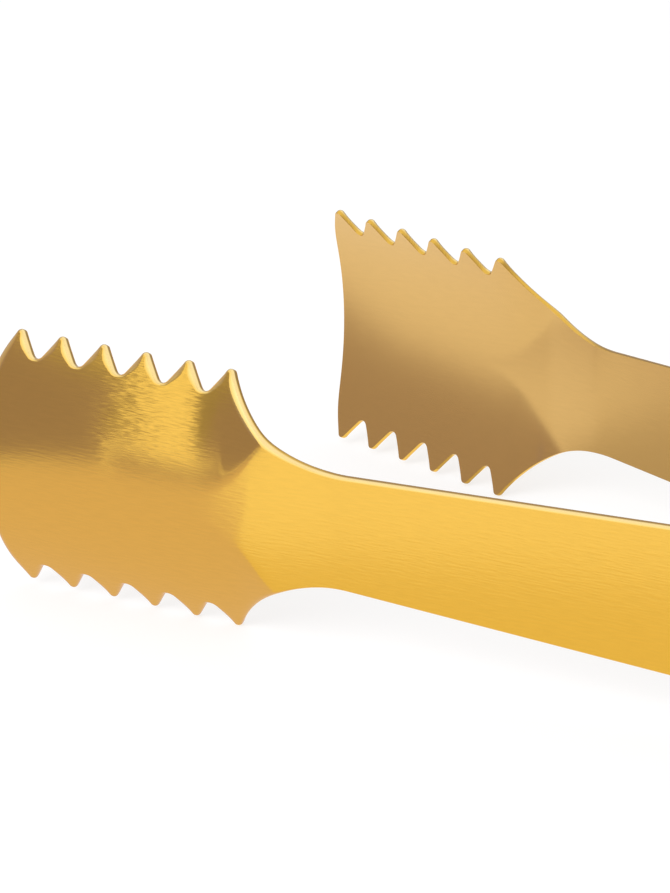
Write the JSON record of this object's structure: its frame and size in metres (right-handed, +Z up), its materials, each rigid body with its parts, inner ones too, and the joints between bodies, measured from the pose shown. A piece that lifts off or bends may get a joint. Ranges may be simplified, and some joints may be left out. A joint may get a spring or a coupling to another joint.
{
  "type": "serving tongs",
  "caption": "Spring serving tongs bent from a gold-coloured steel strip, with tapered flat arms and dished claws that have saw teeth along their edges for gripping food or ice.",
  "frame": {"origin": "on the table under the middle of the tongs' box, with the tongs standing on edge", "axes": "+X from the claws to the bow, +Y across from the left arm to the right arm as seen from the bow, +Z up"},
  "size_m": [0.1786, 0.0716, 0.0334],
  "materials": {
    "gold_steel": "gold-coloured stainless steel, satin, brushed along the strip"
  },
  "bodies": {
    "bow": {"bow_crown": "gold_steel"},
    "left_side": {"left_shoulder": "gold_steel", "left_arm": "gold_steel", "left_claw": "gold_steel"},
    "right_side": {"right_shoulder": "gold_steel", "right_arm": "gold_steel", "right_claw": "gold_steel"}
  },
  "joints": [
    {"name": "left_flex", "type": "hinge", "parent": "bow", "child": "left_side", "pos_m": [0.08668, -0.00489, 0.01239], "axis": [-0.0272, 0, -0.9996], "range_deg": [-4, 9.7], "stiffness_Nm_per_rad": 5},
    {"name": "right_flex", "type": "hinge", "parent": "bow", "child": "right_side", "pos_m": [0.08668, 0.00489, 0.01239], "axis": [0.0272, 0, 0.9996], "range_deg": [-4, 9.7], "stiffness_Nm_per_rad": 5}
  ]
}
